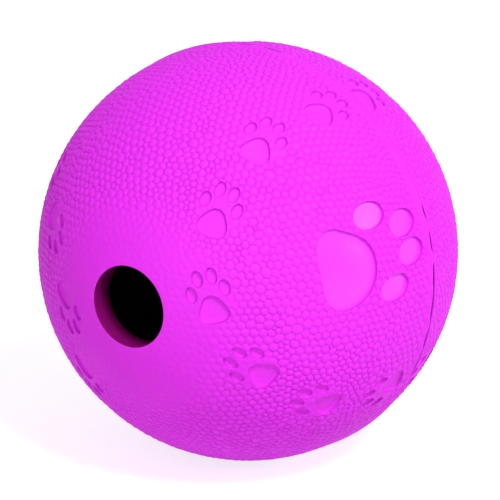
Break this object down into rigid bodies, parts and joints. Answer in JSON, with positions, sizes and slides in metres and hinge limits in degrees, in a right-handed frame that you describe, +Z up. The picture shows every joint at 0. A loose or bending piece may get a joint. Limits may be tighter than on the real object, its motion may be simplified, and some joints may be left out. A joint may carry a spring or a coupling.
{
  "type": "treat dispensing ball",
  "caption": "Hollow pebbled rubber ball with a round mouth in one pole, sunk paw prints, a seam band and an inner labyrinth that lets dry treats out as a dog rolls it.",
  "frame": {"origin": "centre of the ball, on the seam plane", "axes": "+Z up, -Y out of the mouth along the ball's axis, seam in the plane y = 0"},
  "size_m": [0.0902, 0.0891, 0.0902],
  "materials": {
    "magenta_rubber": "satin moulded rubber, pebbled",
    "bond_line": "matt bonding rubber",
    "black_rubber": "matt moulded rubber"
  },
  "bodies": {
    "root": {"front_shell": "magenta_rubber", "rear_shell": "magenta_rubber", "seam_bond": "bond_line", "labyrinth_disc": "black_rubber", "front_baffle": "black_rubber", "rear_baffle": "black_rubber"}
  },
  "joints": []
}
